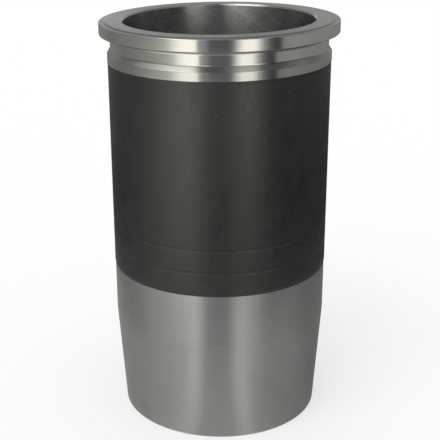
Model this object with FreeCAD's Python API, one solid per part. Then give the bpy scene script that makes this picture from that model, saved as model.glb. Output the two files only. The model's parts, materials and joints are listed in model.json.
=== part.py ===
import FreeCAD, Part
import math
import os

# A wet cylinder liner for a heavy diesel engine: one iron casting, turned all over, honed inside.
# Millimetres. The origin is the centre of the base ring and +Z points up to the cylinder head.

# Driving sizes: the whole
height = 278.0  # base ring to sealing land
bore_diameter = 128.0

# Driving sizes: radial steps from one turned surface to the next
belt_wall = 11.0  # bore to upper belt, the thickest stretch of the barrel
belt_step = 0.2  # upper belt down to the coated jacket wall
jacket_step = 0.3  # jacket wall down to the lower fit
taper_drop = 5.0  # lower fit down to the base ring
relief_depth = 2.1  # upper belt down to the neck under the flange
flange_reach = 5.0  # upper belt out to the flange's rim
land_width = 13.2  # bore out to the foot of the raised land's slope
land_slope = 2.2  # width of the slope that leads off the land

# Driving sizes: lengths along the axis
land_height = 0.5
flange_thickness = 7.8  # seat to the flange's top, without the land
relief_length = 9.4
lead_in_angle = 30.0  # degrees from the axis
belt_length = 5.5
shoulder_length = 2.0  # each shallow slope between the jacket wall and a fit
lower_fit_length = 35.5
taper_length = 73.1

# Driving sizes: edges, roundings and the two fine rings in the jacket wall
bore_mouth_chamfer = 1.0  # at 45 degrees
bore_foot_chamfer = 2.0  # its height
bore_foot_angle = 30.0  # degrees from the axis
edge_break = 0.3
base_edge_break = 0.5
land_rounding = 6.0  # from the land on to its slope
relief_rounding = 3.0  # in the corner under the flange
lead_in_rounding = 2.0  # from the neck out on to the lead-in
witness_count = 2
witness_pitch = 15.9  # lower fit to the first ring, and on to the next
witness_width = 4.0
witness_depth = 0.1

# Radii worked out from the bore
bore_radius = bore_diameter / 2
belt_radius = bore_radius + belt_wall
jacket_radius = belt_radius - belt_step
lower_fit_radius = jacket_radius - jacket_step
base_radius = lower_fit_radius - taper_drop
relief_neck_radius = belt_radius - relief_depth
flange_radius = belt_radius + flange_reach
land_radius = bore_radius + land_width

# Heights worked out downwards from the head end
flange_top = height - land_height
flange_underside = flange_top - flange_thickness
relief_foot = flange_underside - relief_length
lead_in_height = relief_depth / math.tan(math.radians(lead_in_angle))
belt_top = relief_foot - lead_in_height
belt_foot = belt_top - belt_length

# Heights worked out upwards from the base ring
lower_fit_top = taper_length + lower_fit_length
taper_slope = taper_drop / taper_length
bore_foot_widening = bore_foot_chamfer * math.tan(math.radians(bore_foot_angle))


def at(radius, level, rounding=0):
    """A corner of the turned section, which lies in the XZ plane, and the radius that rounds it."""
    return FreeCAD.Vector(radius, 0, level), rounding


def bend(before, corner, after, rounding):
    """Start, middle and end of the arc that rounds the corner between two straight edges."""
    back = (before - corner).normalize()
    ahead = (after - corner).normalize()
    half = back.getAngle(ahead) / 2
    reach = rounding / math.tan(half)
    depth = rounding / math.sin(half) - rounding
    middle = corner + (back + ahead).normalize() * depth
    return corner + back * reach, middle, corner + ahead * reach


def outline(corners):
    """The closed wire through these corners, each sharp or rounded off."""
    bends = []
    for number, (corner, rounding) in enumerate(corners):
        before = corners[number - 1][0]
        after = corners[(number + 1) % len(corners)][0]
        bends.append(bend(before, corner, after, rounding))
    edges = []
    for number, (start, middle, end) in enumerate(bends):
        following = bends[(number + 1) % len(bends)][0]
        if corners[number][1] > 0:
            edges.append(Part.Arc(start, middle, end).toShape())
        edges.append(Part.LineSegment(end, following).toShape())
    return Part.Wire(edges)


def lower_end():
    """Out across the base ring, and up the taper and the lower fit."""
    return [
        at(bore_radius + bore_foot_widening, 0),
        at(base_radius - base_edge_break, 0),
        at(base_radius + base_edge_break * taper_slope, base_edge_break),
        at(lower_fit_radius, taper_length),
        at(lower_fit_radius, lower_fit_top),
    ]


def jacket_wall():
    """Up the coated wall, between the shallow shoulders, past the fine rings turned into it."""
    corners = [at(jacket_radius, lower_fit_top + shoulder_length)]
    for number in range(1, witness_count + 1):
        level = lower_fit_top + number * witness_pitch
        corners += [
            at(jacket_radius, level - witness_width / 2),
            at(jacket_radius - witness_depth, level),
            at(jacket_radius, level + witness_width / 2),
        ]
    return corners + [at(jacket_radius, belt_foot - shoulder_length)]


def head_end():
    """Over the belt, into the relief, round the flange, and over the raised sealing land."""
    return [
        at(belt_radius, belt_foot),
        at(belt_radius, belt_top),
        at(relief_neck_radius, relief_foot, lead_in_rounding),
        at(relief_neck_radius, flange_underside, relief_rounding),
        at(flange_radius - edge_break, flange_underside),
        at(flange_radius, flange_underside + edge_break),
        at(flange_radius, flange_top - edge_break),
        at(flange_radius - edge_break, flange_top),
        at(land_radius, flange_top),
        at(land_radius - land_slope, height, land_rounding),
    ]


def bore():
    """Down the bore, from the chamfer at its mouth to the lead at its foot."""
    return [
        at(bore_radius + bore_mouth_chamfer, height),
        at(bore_radius, height - bore_mouth_chamfer),
        at(bore_radius, bore_foot_chamfer),
    ]


section = Part.Face(outline(lower_end() + jacket_wall() + head_end() + bore()))
liner = section.revolve(FreeCAD.Vector(0, 0, 0), FreeCAD.Vector(0, 0, 1), 360)

os.makedirs("parts", exist_ok=True)
liner.exportStep("parts/cylinder_liner.step")
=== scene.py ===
import json
import math

import bmesh
import bpy
from mathutils import Matrix, Vector


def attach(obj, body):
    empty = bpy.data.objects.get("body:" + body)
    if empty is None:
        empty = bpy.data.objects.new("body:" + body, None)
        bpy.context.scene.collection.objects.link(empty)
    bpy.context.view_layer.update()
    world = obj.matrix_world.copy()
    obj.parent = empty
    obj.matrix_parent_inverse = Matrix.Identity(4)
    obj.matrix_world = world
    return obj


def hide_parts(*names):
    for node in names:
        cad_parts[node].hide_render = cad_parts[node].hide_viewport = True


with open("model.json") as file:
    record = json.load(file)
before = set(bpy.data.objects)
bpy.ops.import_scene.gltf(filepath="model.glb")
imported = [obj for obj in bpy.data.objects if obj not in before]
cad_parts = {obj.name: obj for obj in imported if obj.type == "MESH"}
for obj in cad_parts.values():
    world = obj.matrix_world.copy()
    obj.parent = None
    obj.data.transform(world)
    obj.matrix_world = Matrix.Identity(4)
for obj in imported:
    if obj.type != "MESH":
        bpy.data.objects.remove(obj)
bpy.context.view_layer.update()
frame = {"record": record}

# The honed bore. The iron tube is bored through and finished with stones that turn and slide at
# once, which leaves two sets of fine crossing scratches. Its mouth has a 45 degree chamfer and
# its foot a longer lead, so that the piston rings enter without catching.
mounts = {mount["name"]: mount for mount in frame["record"]["mounts"]}
bore_radius = mounts["piston_bore"]["dims"]["r_mm"] / 1000
liner_height = mounts["head_land"]["pos_m"][2]
mouth_chamfer = 0.001
foot_lead = 0.002
foot_lead_angle = math.radians(30)
foot_widening = foot_lead * math.tan(foot_lead_angle)
hone_angle = math.radians(32)
hone_scratch = 0.0011
hone_stretch = 0.08
falling_streak = 0.006
rising_streak = 0.009
hone_depth = 0.00003
honed_roughness = (0.23, 0.32)
rising_share = 0.35
drawn_dark = (0.40, 0.40, 0.386, 1)
drawn_light = (0.60, 0.60, 0.58, 1)
turning_steps = 384
quarter_turn = 0.25
noise_span = (0.3, 0.7)

casting = bmesh.new()
finishes = []


def spun(outline, steps):
    """A skin turned about the axis from a section, given as (radius, height) points."""
    shape = bmesh.new()
    corners = [shape.verts.new((radius, 0, height)) for radius, height in outline]
    edges = [shape.edges.new(pair) for pair in zip(corners, corners[1:])]
    bmesh.ops.spin(
        shape, geom=corners + edges, cent=(0, 0, 0), axis=(0, 0, 1),
        angle=2 * math.pi, steps=steps, use_merge=True, use_duplicate=False)
    return shape


def mesh_of(shape, name):
    """The worked shape as a mesh."""
    mesh = bpy.data.meshes.new(name)
    shape.to_mesh(mesh)
    shape.free()
    return mesh


def turn(outline, finish):
    """Turns one stretch of the liner's section, in this finish, and adds it to the casting."""
    stretch = spun(outline, turning_steps)
    if finish not in finishes:
        finishes.append(finish)
    for face in stretch.faces:
        face.material_index = finishes.index(finish)
    turned = mesh_of(stretch, "turned_stretch")
    casting.from_mesh(turned)
    bpy.data.meshes.remove(turned)


def finish_of(name, metallic, colour, roughness, grain):
    """A new finish with the plain settings of its shader; grain is how far its marks stretch the gloss."""
    material = bpy.data.materials.new(name)
    material.use_nodes = True
    tree = material.node_tree
    shader = tree.nodes["Principled BSDF"]
    shader.inputs["Metallic"].default_value = metallic
    shader.inputs["Base Color"].default_value = (*colour, 1)
    shader.inputs["Roughness"].default_value = roughness
    shader.inputs["Anisotropic"].default_value = grain
    shader.inputs["Anisotropic Rotation"].default_value = quarter_turn
    around = tree.nodes.new("ShaderNodeTangent")
    around.direction_type = "RADIAL"
    around.axis = "Z"
    tree.links.new(around.outputs[0], shader.inputs["Tangent"])
    return material, tree, shader


def add(tree, kind, inputs, **settings):
    """Adds a node with its settings, and fills its inputs with numbers or with other nodes' outputs."""
    node = tree.nodes.new(kind)
    for name, value in settings.items():
        setattr(node, name, value)
    for name, value in inputs.items():
        if isinstance(value, bpy.types.NodeSocket):
            tree.links.new(value, node.inputs[name])
        else:
            node.inputs[name].default_value = value
    return node


def spots(tree, place, size, detail=3.0, roughness=0.55):
    """Noise from 0 to 1 whose patches are about as large as size, in metres."""
    noise = add(tree, "ShaderNodeTexNoise", {
        "Vector": place, "Scale": 1 / size, "Detail": detail, "Roughness": roughness})
    return noise.outputs[0]


def share_of(tree, value, span, low=0.0, high=1.0):
    """Goes from low to high as the value passes over this span, and stays level outside it."""
    ranged = add(tree, "ShaderNodeMapRange", {
        "Value": value, "From Min": span[0], "From Max": span[1], "To Min": low, "To Max": high})
    return ranged.outputs[0]


def spread(tree, noise, low, high):
    """Takes noise, whose values mostly stay in its middle span, to the full range from low to high."""
    return share_of(tree, noise, noise_span, low, high)


def blend(tree, factor, first, second, **settings):
    """A colour between these two, at this factor; the settings may have the second tint the first."""
    mixed = add(
        tree, "ShaderNodeMix", {"Factor": factor, 6: first, 7: second}, data_type="RGBA", **settings)
    return mixed.outputs[2]


def scaled(tree, place, x, y, z):
    """The place on the piece, stretched by these factors."""
    return add(tree, "ShaderNodeMapping", {"Vector": place, "Scale": (x, y, z)}).outputs[0]


def scratches(tree, place, slope, width):
    """Scratches that climb the bore at this angle: the place is turned about the axis as it rises."""
    height = add(tree, "ShaderNodeSeparateXYZ", {"Vector": place}).outputs["Z"]
    turns = add(tree, "ShaderNodeMath", {
        0: height, 1: 1 / (bore_radius * math.tan(slope))}, operation="MULTIPLY").outputs[0]
    unwound = add(tree, "ShaderNodeVectorRotate", {
        "Vector": place, "Angle": turns}, rotation_type="Z_AXIS").outputs[0]
    drawn = scaled(tree, unwound, 1, 1, hone_stretch)
    return spots(tree, drawn, width, detail=4.0, roughness=0.7)


honed, tree, shader = finish_of(
    "honed_bore", metallic=1.0, colour=(0.47, 0.47, 0.45), roughness=0.26, grain=0.93)
place = add(tree, "ShaderNodeTexCoord", {}).outputs["Object"]
rising = scratches(tree, place, hone_angle, hone_scratch)
falling = scratches(tree, place, -hone_angle, hone_scratch)
crossing = add(tree, "ShaderNodeMath", {0: rising, 1: falling}, operation="MAXIMUM").outputs[0]
tree.links.new(spread(tree, crossing, *honed_roughness), shader.inputs["Roughness"])
falling_streaks = scratches(tree, place, -hone_angle, falling_streak)
rising_streaks = scratches(tree, place, hone_angle, rising_streak)
streaks = add(tree, "ShaderNodeMix", {
    "Factor": rising_share, 2: falling_streaks, 3: rising_streaks}).outputs[0]
drawn_iron = blend(tree, spread(tree, streaks, 0.0, 1.0), drawn_dark, drawn_light)
tree.links.new(drawn_iron, shader.inputs["Base Color"])
hone_relief = add(tree, "ShaderNodeBump", {"Height": crossing, "Strength": 1.0, "Distance": hone_depth})
tree.links.new(hone_relief.outputs[0], shader.inputs["Normal"])

turn([
    (bore_radius + foot_widening, 0),
    (bore_radius, foot_lead),
    (bore_radius, liner_height - mouth_chamfer),
], honed)

# The head end. A raised sealing land, which the head gasket presses on, runs round the bore, and
# the flange that hangs the liner in its block stands out beyond it. Both are faced in the lathe,
# so their marks are rings about the axis.
belt_radius = mounts["upper_belt"]["dims"]["r_mm"] / 1000
flange_underside = mounts["flange_seat"]["pos_m"][2]
land_width = 0.0132
land_height = 0.0005
land_slope = 0.0022
land_rounding = 0.006
flange_reach = 0.005
edge_break = 0.0003
bend_steps = 8
faced_steps = 6
ring_length = 0.4
ring_depth = 1 / 1500
ring_gloss = 0.012
ring_dullness = 0.016
ring_tone = 0.03
cloud_size = 0.03
cloud_dark = (0.965, 0.975, 0.955, 1)
cloud_light = (1.03, 1.015, 1.03, 1)
flange_top = liner_height - land_height
flange_radius = belt_radius + flange_reach
land_radius = bore_radius + land_width


def bend(before, corner, after, radius):
    """Points along the arc of this radius that rounds the corner between two straight stretches."""
    corner = Vector(corner)
    back = (Vector(before) - corner).normalized()
    ahead = (Vector(after) - corner).normalized()
    half = back.angle(ahead) / 2
    centre = corner + (back + ahead).normalized() * radius / math.sin(half)
    reach = radius / math.tan(half)
    first = corner + back * reach - centre
    last = corner + ahead * reach - centre
    return [
        tuple(centre + first.slerp(last, step / bend_steps) * radius) for step in range(bend_steps + 1)]


def rings(tree, place, facing, width):
    """Turning marks of this width: noise drawn out round the axis, along the wall or across a face."""
    parts = add(tree, "ShaderNodeSeparateXYZ", {"Vector": place}).outputs
    if facing:
        flat = scaled(tree, place, 1, 1, 0)
        step = add(tree, "ShaderNodeVectorMath", {0: flat}, operation="LENGTH").outputs["Value"]
    else:
        step = parts["Z"]
    fine = add(tree, "ShaderNodeMath", {0: step, 1: ring_length / width}, operation="MULTIPLY").outputs[0]
    drawn = add(tree, "ShaderNodeCombineXYZ", {"X": parts["X"], "Y": parts["Y"], "Z": fine}).outputs[0]
    return spots(tree, drawn, ring_length, detail=3.0, roughness=0.6)


def turned_iron(name, colour, roughness, grain, facing, width):
    """Bright turned iron: rings of this width in its gloss and relief, and a slight cloud in its colour."""
    material, tree, shader = finish_of(name, 1.0, colour, roughness, grain)
    place = add(tree, "ShaderNodeTexCoord", {}).outputs["Object"]
    marks = rings(tree, place, facing, width)
    gloss = spread(tree, marks, roughness - ring_gloss, roughness + ring_dullness)
    tree.links.new(gloss, shader.inputs["Roughness"])
    dark_line = (*[part * (1 - ring_tone) for part in colour], 1)
    light_line = (*[part * (1 + ring_tone) for part in colour], 1)
    lines = blend(tree, spread(tree, marks, 0.0, 1.0), dark_line, light_line)
    clouds = spots(tree, place, cloud_size)
    cloud = blend(tree, spread(tree, clouds, 0.0, 1.0), cloud_dark, cloud_light)
    tint = blend(tree, 1.0, lines, cloud, blend_type="MULTIPLY")
    tree.links.new(tint, shader.inputs["Base Color"])
    bump = add(tree, "ShaderNodeBump", {"Height": marks, "Strength": 1.0, "Distance": width * ring_depth})
    tree.links.new(bump.outputs[0], shader.inputs["Normal"])
    return material, tree, shader, place, tint


faced = turned_iron(
    "faced_land", colour=(0.545, 0.55, 0.56), roughness=0.40, grain=0.5, facing=True, width=0.0008)[0]
# The land's rounded slope is a darker copy of the faced iron: painted shade that draws a dark line round
# the land.
slope_shade = turned_iron(
    "faced_slope_painted_shade", colour=(0.29, 0.29, 0.286), roughness=0.34, grain=0.6, facing=True, width=0.0006)[0]
rim = turned_iron(
    "faced_rim", colour=(0.475, 0.48, 0.488), roughness=0.38, grain=0.6, facing=True, width=0.0006)[0]
bright = turned_iron(
    "bright_turned", colour=(0.575, 0.56, 0.53), roughness=0.17, grain=0.97, facing=False, width=0.0009)[0]

turn([
    (bore_radius, liner_height - mouth_chamfer),
    (bore_radius + mouth_chamfer, liner_height),
], bright)
land_inside = (bore_radius + mouth_chamfer, liner_height)
land_corner = (land_radius - land_slope, liner_height)
land_foot = (land_radius, flange_top)
land_bend = bend(land_inside, land_corner, land_foot, land_rounding)
turn([land_inside] + land_bend[:faced_steps + 1], faced)
# The slope takes that darker copy, a painted shade line at the land's edge.
turn(land_bend[faced_steps:] + [land_foot], slope_shade)
turn([land_foot, (flange_radius - edge_break, flange_top)], rim)
turn([
    (flange_radius - edge_break, flange_top),
    (flange_radius, flange_top - edge_break),
    (flange_radius, flange_underside + edge_break),
    (flange_radius - edge_break, flange_underside),
], bright)

# The relief and the upper belt. The neck under the flange is cut back so that the flange seats
# flat, and is rounded at both ends. A 30 degree lead widens to the belt, a ground ring that fits
# the block's upper bore.
relief_depth = 0.0021
relief_length = 0.0094
relief_rounding = 0.003
lead_in_rounding = 0.002
shaded_steps = 6
neck_radius = belt_radius - relief_depth
belt_middle = mounts["upper_belt"]["pos_m"][2]
belt_half = mounts["upper_belt"]["dims"]["length_mm"] / 2000
seat_rim = (flange_radius - edge_break, flange_underside)
neck_top = (neck_radius, flange_underside)
neck_foot = (neck_radius, flange_underside - relief_length)
lead_foot = (belt_radius, belt_middle + belt_half)

ground = turned_iron(
    "ground_lead", colour=(0.555, 0.54, 0.512), roughness=0.20, grain=0.90, facing=False, width=0.0005)[0]
belt = turned_iron(
    "ground_belt", colour=(0.495, 0.482, 0.456), roughness=0.17, grain=0.97, facing=False, width=0.0005)[0]
# A dark copy of the turned iron, used as painted shade on the top of the rounding under the flange and on
# the base edge where the liner stands.
corner_shade = turned_iron(
    "painted_corner_shade", colour=(0.30, 0.285, 0.25), roughness=0.36, grain=0.8, facing=False, width=0.0005)[0]
seat_bend = bend(seat_rim, neck_top, neck_foot, relief_rounding)
lead_in_bend = bend(neck_top, neck_foot, lead_foot, lead_in_rounding)

# The top of the rounding under the flange is painted dark, a painted shade under the flange.
turn([seat_rim] + seat_bend[:shaded_steps + 1], corner_shade)
turn(seat_bend[shaded_steps:] + lead_in_bend, bright)
turn([lead_in_bend[-1], lead_foot], ground)
turn([lead_foot, (belt_radius, belt_middle - belt_half)], belt)

# The jacket wall. The coolant runs round this stretch, so it carries a thin dark coating, matt
# and faintly green, that rusts less than bare iron. A shallow shoulder leads on to it at each
# end, and two fine rings run round it near its foot.
belt_step = 0.0002
jacket_radius = belt_radius - belt_step
shoulder_length = 0.002
lower_fit_radius = mounts["lower_fit"]["dims"]["r_mm"] / 1000
lower_fit_half = mounts["lower_fit"]["dims"]["length_mm"] / 2000
lower_fit_top = mounts["lower_fit"]["pos_m"][2] + lower_fit_half
witness_pitch = 0.0159
witness_half = 0.002
witness_depth = 0.0001
ring_lip = 0.0017
ring_edge = 0.0008
lip_radius = jacket_radius - witness_depth * (1 - ring_lip / witness_half)
edge_radius = jacket_radius - witness_depth * (1 - ring_edge / witness_half)
coat_ring = 0.0012
coat_ring_depth = 0.000004
brush_width = 0.0018
brush_stretch = 0.25
wear_range = (0.85, 1.15)
coat_roughness = (0.395, 0.48)
coat_tint = (1.0, 1.0, 0.95, 1)
patch_size = 0.014
patch_dark = (0.0020, 0.0023, 0.0009, 1)
patch_light = (0.0080, 0.0078, 0.0062, 1)
glint_patch_size = 0.012
glint_patch_range = (0.40, 0.62)
painted_glint_pale = (0.05, 0.05, 0.045, 1)
speck_size = 0.0028
speck_range = (0.75, 0.80)
speck_grey = (0.035, 0.035, 0.031, 1)


def coating(name, gloss, lift):
    """The dark coat with its rings, brush marks, patches and specks; lift is how far it is lightened in
    patches, a painted highlight.
    """
    material, tree, shader = finish_of(
        name, metallic=0.0, colour=(0.007, 0.0075, 0.0055), roughness=0.44, grain=0.3)
    shader.inputs["Specular IOR Level"].default_value = gloss
    shader.inputs["Specular Tint"].default_value = coat_tint
    place = add(tree, "ShaderNodeTexCoord", {}).outputs["Object"]
    marks = rings(tree, place, False, coat_ring)
    strokes = scaled(tree, place, 1, 1, brush_stretch)
    brushed = spots(tree, strokes, brush_width, detail=3.0, roughness=0.6)
    patches = spots(tree, place, patch_size, detail=5.0, roughness=0.65)
    wear = add(tree, "ShaderNodeMath", {0: brushed, 1: patches}, operation="ADD").outputs[0]
    tree.links.new(share_of(tree, wear, wear_range, *coat_roughness), shader.inputs["Roughness"])
    shade = blend(tree, spread(tree, patches, 0.0, 1.0), patch_dark, patch_light)
    # Pale patches, a painted highlight, reaching as far as the lift allows.
    glint_patches = spots(tree, place, glint_patch_size, detail=2.0, roughness=0.5)
    shade = blend(tree, share_of(tree, glint_patches, glint_patch_range, high=lift), shade, painted_glint_pale)
    specks = spots(tree, place, speck_size, detail=1.0, roughness=0.5)
    specked = blend(tree, share_of(tree, specks, speck_range), shade, speck_grey)
    tree.links.new(specked, shader.inputs["Base Color"])
    bump = add(tree, "ShaderNodeBump", {"Height": marks, "Strength": 1.0, "Distance": coat_ring_depth})
    tree.links.new(bump.outputs[0], shader.inputs["Normal"])
    return material


# The upper flank of each fine ring takes a less glossy copy of the coat, a painted shade. The lower flank
# takes a glossier copy lightened in patches, a painted highlight.
coated = coating("dark_coating", gloss=0.92, lift=0.0)
ring_shade = coating("ring_painted_shade", gloss=0.74, lift=0.0)
ring_glint = coating("ring_painted_glint", gloss=0.98, lift=0.3)

turn([
    (belt_radius, belt_middle - belt_half),
    (jacket_radius, belt_middle - belt_half - shoulder_length),
    (jacket_radius, lower_fit_top + 2 * witness_pitch + witness_half),
], coated)
for ring in (2, 1):
    level = lower_fit_top + ring * witness_pitch
    flank = [
        (jacket_radius, level + witness_half),
        (lip_radius, level + ring_lip),
        (edge_radius, level + ring_edge),
        (jacket_radius - witness_depth, level),
        (edge_radius, level - ring_edge),
        (jacket_radius, level - witness_half),
    ]
    # The upper flank is painted shade and the lower flank is painted highlight.
    turn(flank[0:2], coated)
    turn(flank[1:3], ring_shade)
    turn(flank[2:4], coated)
    turn(flank[3:5], ring_glint)
    turn(flank[4:6], coated)
    if ring == 2:
        turn([flank[5], (jacket_radius, level - witness_pitch + witness_half)], coated)
turn([
    (jacket_radius, lower_fit_top + witness_pitch - witness_half),
    (jacket_radius, lower_fit_top + shoulder_length),
    (lower_fit_radius, lower_fit_top),
], coated)

# The lower end. A ground fit for the block's lower bore, then a long taper down to the base ring
# that the liner stands on. It is bare iron, duller than the head end, with faint stains from
# handling and storage.
taper_height = mounts["lower_fit"]["pos_m"][2] - lower_fit_half
taper_drop = 0.005
base_radius = lower_fit_radius - taper_drop
base_edge_break = 0.0005
grime_size = 0.009
stain_core = 0.2
stain_strength = 2.0
stains = [
    ((-0.060, -0.044, 0.085), 0.022, (0.87, 0.88, 0.84, 1)),
    ((-0.025, -0.070, 0.070), 0.016, (1.03, 0.985, 0.985, 1)),
    ((0.060, -0.044, 0.085), 0.024, (0.93, 0.94, 0.91, 1)),
    ((-0.053, -0.045, 0.010), 0.008, (0.90, 0.90, 0.90, 1)),
]

dull, tree, shader, place, tint = turned_iron(
    "dull_ground", colour=(0.466, 0.46, 0.455), roughness=0.33, grain=0.86, facing=False, width=0.002)
grime = spots(tree, place, grime_size, detail=4.0, roughness=0.6)
for spot, reach, stain in stains:
    away = add(tree, "ShaderNodeVectorMath", {0: place, 1: spot}, operation="DISTANCE").outputs["Value"]
    near = share_of(tree, away, (reach, reach * stain_core), high=stain_strength)
    ragged = add(tree, "ShaderNodeMath", {
        0: near, 1: grime}, operation="MULTIPLY", use_clamp=True).outputs[0]
    tint = blend(tree, ragged, tint, stain, blend_type="MULTIPLY")
tree.links.new(tint, shader.inputs["Base Color"])

base_edge = (base_radius + base_edge_break * taper_drop / taper_height, base_edge_break)
turn([(lower_fit_radius, lower_fit_top), (lower_fit_radius, taper_height), base_edge], dull)
# The base edge and the foot face are painted dark, a painted shade where the liner meets the floor.
turn([base_edge, (base_radius - base_edge_break, 0), (bore_radius + foot_widening, 0)], corner_shade)

# The finished liner. The stretches join into one closed skin, whose corners are broken by a
# light stone, and it stands for the plain solid on the same axis.
stone = 0.00006
joint_width = 0.000001
crease_angle = math.radians(3)
corner_angle = math.radians(20)


def stood(name, data):
    """Stands an object with this mesh, lamp or camera in the scene, at the origin."""
    thing = bpy.data.objects.new(name, data)
    bpy.context.scene.collection.objects.link(thing)
    return thing


bmesh.ops.remove_doubles(casting, verts=casting.verts, dist=joint_width)
bmesh.ops.recalc_face_normals(casting, faces=casting.faces)
corners = [edge for edge in casting.edges if edge.calc_face_angle(0) > corner_angle]
bmesh.ops.bevel(
    casting, geom=corners, offset=stone, offset_type="OFFSET", affect="EDGES",
    segments=2, profile=0.5, material=-1)
for face in casting.faces:
    face.smooth = True
for edge in casting.edges:
    edge.smooth = edge.calc_face_angle(0) < crease_angle

skin = mesh_of(casting, "liner_turned")
for finish in finishes:
    skin.materials.append(finish)
liner = stood("liner_turned", skin)
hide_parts("cylinder_liner")
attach(liner, "root")

# The floor, a wide pale sheet that takes the liner's soft shadow and runs out to the white room.
# The camera sees it partly as lit paper, with that shadow, and partly as the room's own white.
floor_reach = 6.0
floor_sides = 96
own_white = 0.55
paper_white = (0.98, 0.98, 0.98, 1)
sheet = bmesh.new()
bmesh.ops.create_circle(sheet, cap_ends=True, segments=floor_sides, radius=floor_reach)
floor_mesh = mesh_of(sheet, "floor")
paper = bpy.data.materials.new("pale_paper")
paper.use_nodes = True
tree = paper.node_tree
paper_shader = tree.nodes["Principled BSDF"]
paper_shader.inputs["Base Color"].default_value = paper_white
paper_shader.inputs["Roughness"].default_value = 0.9
paper_shader.inputs["Specular IOR Level"].default_value = 0.0
white = add(tree, "ShaderNodeEmission", {"Color": (1, 1, 1, 1), "Strength": 1.0})


def seen(tree):
    """1 for a ray from the camera, a mirror or through glass, and 0 for one that only brings light."""
    rays = add(tree, "ShaderNodeLightPath", {}).outputs
    mirrored = add(tree, "ShaderNodeMath", {
        0: rays["Is Camera Ray"], 1: rays["Is Glossy Ray"]}, operation="MAXIMUM").outputs[0]
    return add(tree, "ShaderNodeMath", {
        0: mirrored, 1: rays["Is Transmission Ray"]}, operation="MAXIMUM").outputs[0]


whiteness = add(tree, "ShaderNodeMath", {0: seen(tree), 1: own_white}, operation="MULTIPLY").outputs[0]
lit_paper = add(tree, "ShaderNodeMixShader", {
    "Fac": whiteness, 1: paper_shader.outputs[0], 2: white.outputs[0]})
tree.links.new(lit_paper.outputs[0], tree.nodes["Material Output"].inputs["Surface"])
floor_mesh.materials.append(paper)
stood("floor", floor_mesh)

# The white room round it all, and one broad soft lamp from the front left that gives the shadow.
room_light = 0.80
lamp_light = 0.85
lamp_height = math.radians(52)
lamp_bearing = math.radians(-32)
lamp_breadth = math.radians(45)
room = bpy.data.worlds.new("white_room")
bpy.context.scene.world = room
room.use_nodes = True
tree = room.node_tree
walls = tree.nodes["Background"]
walls.inputs["Color"].default_value = (1, 1, 1, 1)
room_white = share_of(tree, seen(tree), (0, 1), low=room_light)
tree.links.new(room_white, walls.inputs["Strength"])
lamp = bpy.data.lights.new("soft_lamp", "SUN")
lamp.energy = lamp_light
lamp.angle = lamp_breadth
soft_lamp = stood("soft_lamp", lamp)
soft_lamp.matrix_world = (
    Matrix.Rotation(lamp_bearing, 4, "Z") @ Matrix.Rotation(math.pi / 2 - lamp_height, 4, "X"))
soft_lamp.visible_glossy = False

# The light tent that the bright iron mirrors: a skirt, a round wall and a low roof, with two soft
# panels in front and the dark slot that the camera looks through between them. Each row takes over
# between two heights and gives the light at bearings in degrees; 0 is towards the camera.
tent_profile = [(0.0697, 0.0004), (0.62, 0.20), (0.62, 1.0), (0.001, 1.15)]
tent_steps = 128
brightest = 3.2
ground_lights = (-0.03, -0.02, [
    (-180, 0.38), (-137, 0.40), (-110, 0.36), (-70, 0.37), (-48, 0.44), (-24, 0.58), (-17, 0.59),
    (-10, 0.53), (10, 0.52), (17, 0.55), (24, 0.42), (55, 0.27), (85, 0.17), (113, 0.15),
    (180, 0.30)])
foot_lights = (-0.014, 0.042, [
    (-180, 0.42), (-137, 0.46), (-110, 0.43), (-75, 0.48), (-48, 0.54), (-28, 0.62), (-21, 0.90),
    (-16, 0.78), (-11, 0.40), (8, 0.40), (13, 0.76), (19, 0.88), (26, 0.61), (40, 0.49),
    (70, 0.45), (90, 0.33), (140, 0.26), (180, 0.30)])
band_lights = (0.038, 0.065, [
    (-180, 0.15), (-112, 0.09), (-90, 0.14), (-77, 0.24), (-62, 0.41), (-45, 0.51), (-35, 0.60),
    (-22, 0.60), (-17, 0.40), (-12, 0.16), (8, 0.13), (14, 0.20), (22, 0.27), (32, 0.26), (42, 0.13),
    (50, 0.07), (62, 0.09), (92, 0.09), (140, 0.07), (180, 0.17)])
coat_lights = (0.07, 0.14, [
    (-180, 0.28), (-112, 0.21), (-90, 0.33), (-77, 0.60), (-64, 1.05), (-50, 1.45), (-40, 2.10),
    (-24, 2.35), (-18, 1.65), (-14, 0.62), (8, 0.47), (14, 0.98), (20, 1.65), (33, 1.50),
    (42, 0.40), (50, 0.12), (62, 0.18), (92, 0.13), (140, 0.08), (180, 0.28)])
flange_lights = (0.14, 0.165, [
    (-180, 0.12), (-160, 0.14), (-150, 0.25), (-132, 0.28), (-112, 0.26), (-88, 0.32), (-77, 0.32),
    (-66, 0.31), (-57, 0.32), (-50, 0.38), (-44, 0.52), (-38, 1.06), (-33, 1.42), (-24, 1.50),
    (-20, 1.55), (-18, 0.03), (-5, 0.02), (4, 0.02), (12, 0.04), (17, 0.90), (22, 1.58),
    (31, 1.46), (34, 0.90), (38, 0.17), (45, 0.06), (54, 0.07), (58, 0.43), (70, 0.49), (92, 0.41),
    (140, 0.29), (160, 0.14), (180, 0.12)])
wall_lights = (0.27, 0.29, [
    (-180, 0.37), (-175, 0.56), (-168, 1.20), (-160, 0.85), (-152, 0.20), (-132, 0.28),
    (-113, 0.16), (-95, 0.08), (-75, 0.08), (-62, 0.24), (-50, 0.85), (-40, 1.95), (-28, 2.90),
    (-11, 2.50), (-8, 0.28), (8, 0.28), (16, 1.50), (22, 2.60), (38, 3.20), (43, 1.30), (48, 0.18),
    (56, 0.06), (80, 0.05), (92, 0.08), (104, 0.14), (120, 0.28), (140, 0.24), (155, 0.60),
    (170, 0.60), (180, 0.37)])
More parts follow.
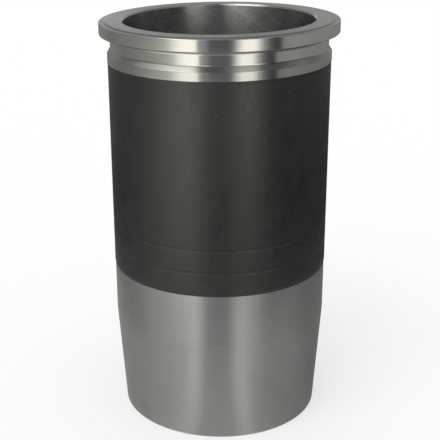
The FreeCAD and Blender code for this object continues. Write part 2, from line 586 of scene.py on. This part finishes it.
eave_lights = (0.35, 0.41, [
    (-180, 0.30), (-168, 0.36), (-160, 0.26), (-150, 0.24), (-132, 0.34), (-113, 0.20), (-95, 0.05),
    (-75, 0.04), (-50, 0.06), (-30, 0.34), (-11, 0.44), (-7, 0.24), (9, 0.24), (18, 0.18),
    (34, 0.34), (45, 0.06), (60, 0.02), (80, 0.03), (92, 0.07), (104, 0.12), (120, 0.22),
    (142, 0.20), (155, 0.36), (170, 0.40), (180, 0.30)])
upper_lights = (0.46, 0.56, [
    (-180, 0.36), (-150, 0.30), (-120, 0.38), (-99, 0.42), (-85, 0.62), (-73, 0.80), (-60, 0.66),
    (-45, 0.32), (-30, 0.19), (-10, 0.19), (-5, 0.12), (15, 0.12), (25, 0.14), (45, 0.09),
    (60, 0.06), (80, 0.20), (93, 0.32), (125, 0.32), (150, 0.30), (180, 0.36)])
top_lights = (0.70, 0.82, [
    (-180, 0.33), (-120, 0.25), (-95, 0.42), (-80, 1.15), (-68, 2.15), (-60, 2.45), (-34, 2.45),
    (-27, 1.40), (-22, 0.25), (-14, 0.06), (2, 0.13), (12, 0.25), (20, 0.58), (28, 0.98),
    (42, 0.98), (49, 0.38), (58, 0.16), (68, 0.22), (93, 0.32), (150, 0.20), (180, 0.33)])
roof_lights = (1.035, 1.06, [
    (-180, 0.15), (-125, 0.30), (-108, 1.80), (-92, 2.50), (-60, 2.50), (-48, 0.50), (-30, 0.20),
    (20, 0.15), (45, 0.40), (85, 0.45), (110, 0.25), (180, 0.15)])
warm_light = (1.0, 1.0, 0.93, 1)
plain_light = (0.975, 1.0, 0.95, 1)
cool_light = (0.99, 1.0, 1.02, 1)
slot_light = (1.0, 0.98, 1.19, 1)
even_light = (1, 1, 1, 1)
light_tones = [(0.03, cool_light), (0.09, plain_light), (0.45, warm_light)]
slot_tones = (0.13, 0.16, [
    (-180, even_light), (-18, even_light), (-12, slot_light), (8, slot_light), (13, even_light),
    (180, even_light)])

tent_mesh = mesh_of(spun(tent_profile, tent_steps), "light_tent")
cloth = bpy.data.materials.new("tent_light")
cloth.use_nodes = True
tree = cloth.node_tree
tree.nodes.remove(tree.nodes["Principled BSDF"])
place = add(tree, "ShaderNodeTexCoord", {}).outputs["Object"]
parts = add(tree, "ShaderNodeSeparateXYZ", {"Vector": place}).outputs
front = add(tree, "ShaderNodeMath", {0: parts["Y"], 1: -1.0}, operation="MULTIPLY").outputs[0]
bearing = add(tree, "ShaderNodeMath", {0: parts["X"], 1: front}, operation="ARCTAN2").outputs[0]
turned_to = share_of(tree, bearing, (-math.pi, math.pi))


def ramp_of(tree, value, stops):
    """Colours along a value from 0 to 1; each stop is a place on it and a colour."""
    node = add(tree, "ShaderNodeValToRGB", {"Fac": value})
    ramp = node.color_ramp
    for position, colour in stops[1:-1]:
        ramp.elements.new(position)
    for element, (position, colour) in zip(ramp.elements, stops):
        element.position = position
        element.color = colour
    return node.outputs["Color"]


def round_tent(colours):
    """Colours that change with the bearing; each stop is an angle in degrees and a colour."""
    return ramp_of(tree, turned_to, [((angle + 180) / 360, colour) for angle, colour in colours])


def lit_round(lights):
    """Light that changes with the bearing, as a share of the brightest."""
    shares = [(angle, light / brightest) for angle, light in lights]
    return round_tent([(angle, (share, share, share, 1)) for angle, share in shares])


fabric = lit_round(ground_lights[2])
for lower, upper, lights in (
        foot_lights, band_lights, coat_lights, flange_lights, wall_lights, eave_lights,
        upper_lights, top_lights, roof_lights):
    rise = share_of(tree, parts["Z"], (lower, upper))
    fabric = blend(tree, rise, fabric, lit_round(lights))
tone = ramp_of(tree, fabric, light_tones)
toned = blend(tree, 1.0, fabric, tone, blend_type="MULTIPLY")
slot_lower, slot_upper, tones = slot_tones
slot = round_tent(tones)
above = share_of(tree, parts["Z"], (slot_lower, slot_upper))
toned = blend(tree, above, toned, slot, blend_type="MULTIPLY")
glow = add(tree, "ShaderNodeEmission", {"Color": toned, "Strength": brightest})
tree.links.new(glow.outputs[0], tree.nodes["Material Output"].inputs["Surface"])
tent_mesh.materials.append(cloth)
light_tent = stood("light_tent", tent_mesh)
light_tent.visible_camera = False
light_tent.visible_diffuse = False
light_tent.visible_shadow = False
light_tent.visible_transmission = False

# The camera, a little above the liner's mouth, as the photograph was taken. The picture is the
# left part of a wider frame, which the shift gives.
picture_side = 440
camera_reach = 0.6927
camera_height = 0.3852
camera_turn = 0.0510
camera_tilt = 0.3651
camera_roll = -0.0200
focal_pixels = 1032.4
middle_x = 170.0
middle_y = 240.4
sensor_width = 36.0
eye = bpy.data.cameras.new("camera")
eye.sensor_width = sensor_width
eye.lens = focal_pixels / picture_side * sensor_width
eye.shift_x = (picture_side / 2 - middle_x) / picture_side
eye.shift_y = (middle_y - picture_side / 2) / picture_side
camera = stood("camera", eye)
camera.matrix_world = (
    Matrix.Translation((0, -camera_reach, camera_height))
    @ Matrix.Rotation(camera_turn, 4, "Z")
    @ Matrix.Rotation(math.pi / 2 - camera_tilt, 4, "X")
    @ Matrix.Rotation(camera_roll, 4, "Z"))
bpy.context.scene.camera = camera
bpy.context.scene.view_settings.view_transform = "Standard"
